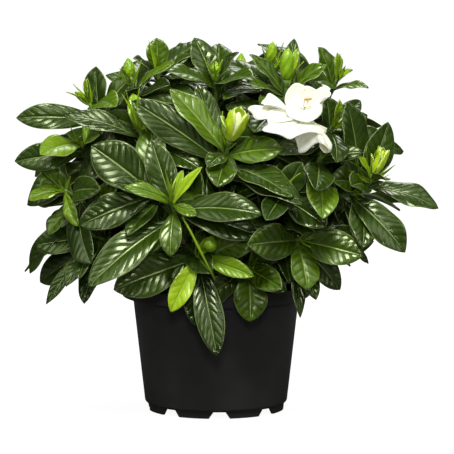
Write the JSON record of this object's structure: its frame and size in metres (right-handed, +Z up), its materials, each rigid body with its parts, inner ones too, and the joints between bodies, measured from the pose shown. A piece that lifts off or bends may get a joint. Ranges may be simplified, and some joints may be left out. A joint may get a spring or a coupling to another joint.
{
  "type": "potted gardenia",
  "caption": "Bushy gardenia shrub with whorls of glossy quilted leaves, furled green buds and one open double white flower, in a tapered black plastic nursery pot.",
  "frame": {"origin": "centre of the pot's foot, on the plane that the pot stands on", "axes": "+Z up along the pot's axis; -Y towards the viewer of the picture; +X to that viewer's right"},
  "size_m": [0.3123, 0.2803, 0.2799],
  "materials": {
    "pot_plastic": "satin black thermoformed plastic",
    "potting_soil": "loose dark bark and peat mix",
    "bark": "matte grey-brown bark",
    "foliage": "glossy quilted evergreen leaf",
    "bud_sepals": "satin yellow-green",
    "petals": "waxy white",
    "stigma": "matte tan"
  },
  "bodies": {
    "root": {"pot": "pot_plastic", "soil": "potting_soil", "wood_1": "bark", "wood_2": "bark", "wood_3": "bark", "shoot_01": "foliage", "shoot_02": "foliage", "shoot_03": "foliage", "shoot_04": "foliage", "shoot_05": "foliage", "shoot_06": "foliage", "shoot_07": "foliage", "shoot_08": "foliage", "shoot_09": "foliage", "shoot_10": "foliage", "shoot_11": "foliage", "shoot_12": "foliage", "shoot_13": "foliage", "shoot_14": "foliage", "shoot_15": "foliage", "shoot_16": "foliage", "shoot_17": "foliage", "shoot_18": "foliage", "shoot_19": "foliage", "shoot_20": "foliage", "shoot_21": "foliage", "shoot_22": "foliage", "shoot_23": "foliage", "shoot_24": "foliage", "shoot_25": "foliage", "shoot_26": "foliage", "shoot_27": "foliage", "shoot_28": "foliage", "shoot_29": "foliage", "shoot_30": "foliage", "shoot_31": "foliage", "shoot_32": "foliage", "shoot_33": "foliage", "shoot_34": "foliage", "shoot_35": "foliage", "shoot_36": "foliage", "shoot_37": "foliage", "shoot_38": "foliage", "bud_01": "bud_sepals", "bud_02": "bud_sepals", "bud_03": "bud_sepals", "bud_04": "bud_sepals", "bud_05": "bud_sepals", "bud_06": "bud_sepals", "bud_07": "bud_sepals", "bud_08": "bud_sepals", "bud_09": "bud_sepals", "bud_10": "bud_sepals", "flower_petals": "petals", "flower_eye": "stigma"}
  },
  "joints": []
}
